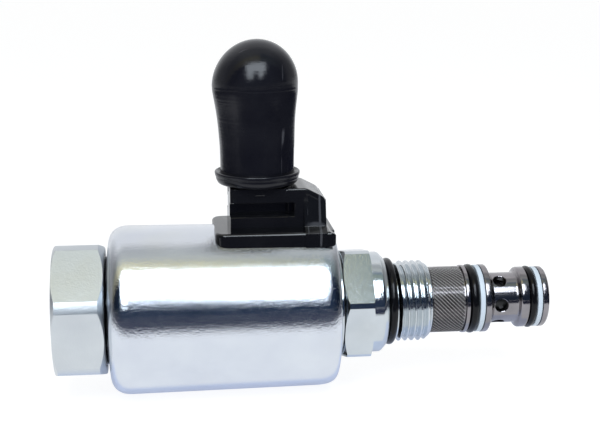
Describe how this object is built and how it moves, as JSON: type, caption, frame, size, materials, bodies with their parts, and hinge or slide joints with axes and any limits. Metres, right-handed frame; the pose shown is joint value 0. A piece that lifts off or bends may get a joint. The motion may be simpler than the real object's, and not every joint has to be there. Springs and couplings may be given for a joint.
{
  "type": "solenoid cartridge valve",
  "caption": "Screw-in hydraulic cartridge with a ported, screened cage and a clamped solenoid coil whose upright connector wears a domed rubber cap.",
  "frame": {"origin": "on the valve's axis, in the plane of the seat face that the port O-ring lies against", "axes": "+X along the valve's axis towards the nose, +Z along the connector, away from the coil"},
  "size_m": [0.1344, 0.0456, 0.0952],
  "materials": {
    "zinc_plated_steel": "bright zinc plate, fine grained",
    "turned_steel": "ground and polished",
    "stainless_steel": "smooth",
    "soft_iron": "turned",
    "spring_steel": "drawn",
    "steel_mesh": "fine woven mesh",
    "black_rubber": "oiled",
    "black_plastic": "moulded",
    "cap_rubber": "satin",
    "white_ptfe": "smooth",
    "bobbin_nylon": "moulded",
    "enamelled_copper": "enamelled wire",
    "brass": "stamped",
    "tinned_brass": "tin plated"
  },
  "bodies": {
    "valve": {"valve_body": "zinc_plated_steel", "coil_nut": "zinc_plated_steel", "nut_seal": "black_rubber", "thrust_washer": "zinc_plated_steel", "guide_tube": "stainless_steel", "tube_end_plug": "stainless_steel", "pole_piece": "soft_iron", "core_seal": "black_rubber", "air_gap_shim": "brass", "armature_spring": "spring_steel", "port_oring": "black_rubber", "cage": "turned_steel", "filter_screen": "steel_mesh", "upper_oring": "black_rubber", "upper_backup_ring": "white_ptfe", "lower_oring": "black_rubber", "lower_backup_ring": "white_ptfe", "return_spring": "spring_steel", "spring_seat": "turned_steel", "retaining_ring": "spring_steel"},
    "coil": {"coil_can": "zinc_plated_steel", "rear_flux_plate": "soft_iron", "front_flux_plate": "soft_iron", "bobbin": "bobbin_nylon", "winding": "enamelled_copper", "connector_housing": "black_plastic", "terminal_pin_1": "tinned_brass", "terminal_pin_2": "tinned_brass"},
    "plunger": {"armature": "soft_iron", "push_pin": "stainless_steel"},
    "spool": {"spool": "turned_steel"},
    "cap": {"dust_cap": "cap_rubber"}
  },
  "joints": [
    {"name": "coil_swivel", "type": "hinge", "parent": "valve", "child": "coil", "pos_m": [0, 0, 0], "axis": [1, 0, 0], "range_deg": [-180, 180]},
    {"name": "cap_pull", "type": "slide", "parent": "coil", "child": "cap", "axis": [0, 0, 1], "range_m": [0, 0.03]},
    {"name": "plunger_stroke", "type": "slide", "parent": "valve", "child": "plunger", "axis": [1, 0, 0], "range_m": [0, 0.002], "stiffness_N_per_m": 600, "springref_m": -0.004, "deforming": ["armature_spring"]},
    {"name": "spool_stroke", "type": "slide", "parent": "valve", "child": "spool", "axis": [1, 0, 0], "range_m": [0, 0.002], "stiffness_N_per_m": 1500, "springref_m": -0.004, "deforming": ["return_spring"]}
  ],
  "couplings": [
    {"joint": "spool_stroke", "follows": "plunger_stroke", "ratio": 1}
  ]
}
